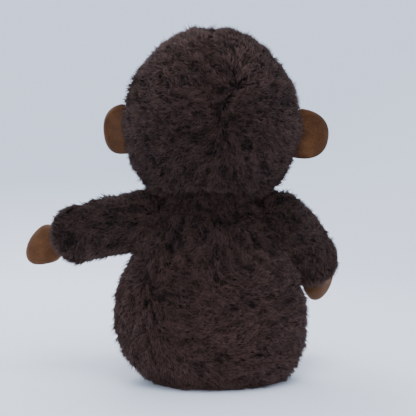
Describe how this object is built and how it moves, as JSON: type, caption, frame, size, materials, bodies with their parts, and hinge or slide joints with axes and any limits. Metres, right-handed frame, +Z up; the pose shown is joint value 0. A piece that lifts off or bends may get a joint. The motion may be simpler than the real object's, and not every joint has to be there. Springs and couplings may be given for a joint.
{
  "type": "stuffed monkey",
  "caption": "Sitting plush ape with a round head, flat side ears, outstretched arms and stub legs; neck, ears, arms, wrists, legs and ankles move.",
  "frame": {"origin": "centre of the flat seat, on the surface that the toy sits on", "axes": "+Z up, the face looks along -Y, +X towards the toy's own left"},
  "size_m": [0.3352, 0.2237, 0.3474],
  "materials": {
    "brown_plush": "short dense pile plush, dark cool brown, matt with a faint sheen at the tips",
    "tan_suede": "brushed short-nap suede cloth, rust tan, matt and faintly mottled",
    "fibre_filling": "white hollow polyester fibre, sealed inside",
    "pellet_pouch": "plain woven pouch of plastic pellets, sealed inside",
    "face_thread": "embroidery thread, dark brown with a satin lustre",
    "seam_thread": "polyester sewing thread, dark brown",
    "eye_plastic": "polished black-brown plastic",
    "washer_plastic": "moulded white plastic"
  },
  "bodies": {
    "torso": {"back_left": "brown_plush", "back_right": "brown_plush", "belly_left": "brown_plush", "belly_right": "brown_plush", "seat_panel": "brown_plush", "body_stuffing": "fibre_filling", "pellet_pouch": "pellet_pouch", "back_closing_stitches": "seam_thread"},
    "neck_sleeve": {"neck_sleeve": "brown_plush"},
    "neck_stuffing": {"neck_stuffing": "fibre_filling"},
    "head": {"head_back_left": "brown_plush", "head_back_right": "brown_plush", "head_front_left": "brown_plush", "head_front_right": "brown_plush", "face_patch": "tan_suede", "head_stuffing": "fibre_filling", "muzzle_cover": "tan_suede", "muzzle_stuffing": "fibre_filling", "eye_left": "eye_plastic", "eye_right": "eye_plastic", "eye_washer_left": "washer_plastic", "eye_washer_right": "washer_plastic", "nostril_stitches": "face_thread", "mouth_stitches": "face_thread"},
    "left_ear": {"left_ear_back": "tan_suede", "left_ear_front": "tan_suede", "left_ear_stuffing": "fibre_filling"},
    "left_shoulder": {"left_shoulder_stuffing": "fibre_filling"},
    "left_arm": {"left_arm_back": "brown_plush", "left_arm_front": "brown_plush", "left_arm_stuffing": "fibre_filling"},
    "left_hand": {"left_hand_back": "tan_suede", "left_hand_palm": "tan_suede", "left_hand_stuffing": "fibre_filling"},
    "left_hip": {"left_hip_stuffing": "fibre_filling"},
    "left_leg": {"left_leg_upper": "brown_plush", "left_leg_under": "brown_plush", "left_leg_stuffing": "fibre_filling"},
    "left_foot": {"left_foot_upper": "tan_suede", "left_foot_sole": "tan_suede", "left_foot_stuffing": "fibre_filling"},
    "right_ear": {"right_ear_back": "tan_suede", "right_ear_front": "tan_suede", "right_ear_stuffing": "fibre_filling"},
    "right_shoulder": {"right_shoulder_stuffing": "fibre_filling"},
    "right_arm": {"right_arm_back": "brown_plush", "right_arm_front": "brown_plush", "right_arm_stuffing": "fibre_filling"},
    "right_hand": {"right_hand_back": "tan_suede", "right_hand_palm": "tan_suede", "right_hand_stuffing": "fibre_filling"},
    "right_hip": {"right_hip_stuffing": "fibre_filling"},
    "right_leg": {"right_leg_upper": "brown_plush", "right_leg_under": "brown_plush", "right_leg_stuffing": "fibre_filling"},
    "right_foot": {"right_foot_upper": "tan_suede", "right_foot_sole": "tan_suede", "right_foot_stuffing": "fibre_filling"}
  },
  "joints": [
    {"name": "neck_tilt", "type": "hinge", "parent": "torso", "child": "neck_sleeve", "pos_m": [0, 0, 0.184], "axis": [0, 1, 0], "range_deg": [-8.5, 12]},
    {"name": "neck_nod", "type": "hinge", "parent": "neck_sleeve", "child": "neck_stuffing", "pos_m": [0, 0, 0.184], "axis": [1, 0, 0], "range_deg": [-14, 18]},
    {"name": "head_turn", "type": "hinge", "parent": "neck_stuffing", "child": "head", "pos_m": [0, 0, 0.184], "axis": [-0.0262, 0, 0.9997], "range_deg": [-40, 40]},
    {"name": "left_ear_fold", "type": "hinge", "parent": "head", "child": "left_ear", "pos_m": [0.08577, 0, 0.25127], "axis": [-0.1132, 0, -0.9936], "range_deg": [-60, 26], "stiffness_Nm_per_rad": 0.02},
    {"name": "right_ear_fold", "type": "hinge", "parent": "head", "child": "right_ear", "pos_m": [-0.08917, 0, 0.24669], "axis": [-0.165, 0, 0.9863], "range_deg": [-37, 50], "stiffness_Nm_per_rad": 0.02},
    {"name": "left_arm_raise", "type": "hinge", "parent": "torso", "child": "left_shoulder", "pos_m": [0.066, -0.002, 0.16], "axis": [0, -1, 0], "range_deg": [-28, 37]},
    {"name": "left_arm_swing", "type": "hinge", "parent": "left_shoulder", "child": "left_arm", "pos_m": [0.066, -0.002, 0.16], "axis": [-0.1564, 0, -0.9877], "range_deg": [-40, 42]},
    {"name": "left_wrist_flex", "type": "hinge", "parent": "left_arm", "child": "left_hand", "pos_m": [0.15524, -0.03167, 0.13979], "axis": [-0.1564, 0, -0.9877], "range_deg": [-30, 30]},
    {"name": "right_arm_raise", "type": "hinge", "parent": "torso", "child": "right_shoulder", "pos_m": [-0.066, -0.002, 0.16], "axis": [0, 1, 0], "range_deg": [-1, 70]},
    {"name": "right_arm_swing", "type": "hinge", "parent": "right_shoulder", "child": "right_arm", "pos_m": [-0.066, -0.002, 0.16], "axis": [-0.5878, 0, 0.809], "range_deg": [-58, 5]},
    {"name": "right_wrist_flex", "type": "hinge", "parent": "right_arm", "child": "right_hand", "pos_m": [-0.11609, -0.06371, 0.10383], "axis": [-0.5878, 0, 0.809], "range_deg": [-42, 18]},
    {"name": "left_hip_flex", "type": "hinge", "parent": "torso", "child": "left_hip", "pos_m": [0.045, -0.062, 0.029], "axis": [-1, 0, 0], "range_deg": [-40, 40]},
    {"name": "left_leg_splay", "type": "hinge", "parent": "left_hip", "child": "left_leg", "pos_m": [0.045, -0.062, 0.029], "axis": [0, 0, 1], "range_deg": [-12, 35]},
    {"name": "left_ankle_flex", "type": "hinge", "parent": "left_leg", "child": "left_foot", "pos_m": [0.05789, -0.12265, 0.029], "axis": [-0.9781, -0.2079, 0], "range_deg": [-16, 16]},
    {"name": "right_hip_flex", "type": "hinge", "parent": "torso", "child": "right_hip", "pos_m": [-0.045, -0.062, 0.029], "axis": [-1, 0, 0], "range_deg": [-40, 40]},
    {"name": "right_leg_splay", "type": "hinge", "parent": "right_hip", "child": "right_leg", "pos_m": [-0.045, -0.062, 0.029], "axis": [0, 0, -1], "range_deg": [-12, 35]},
    {"name": "right_ankle_flex", "type": "hinge", "parent": "right_leg", "child": "right_foot", "pos_m": [-0.05789, -0.12265, 0.029], "axis": [-0.9781, 0.2079, 0], "range_deg": [-16, 16]}
  ]
}
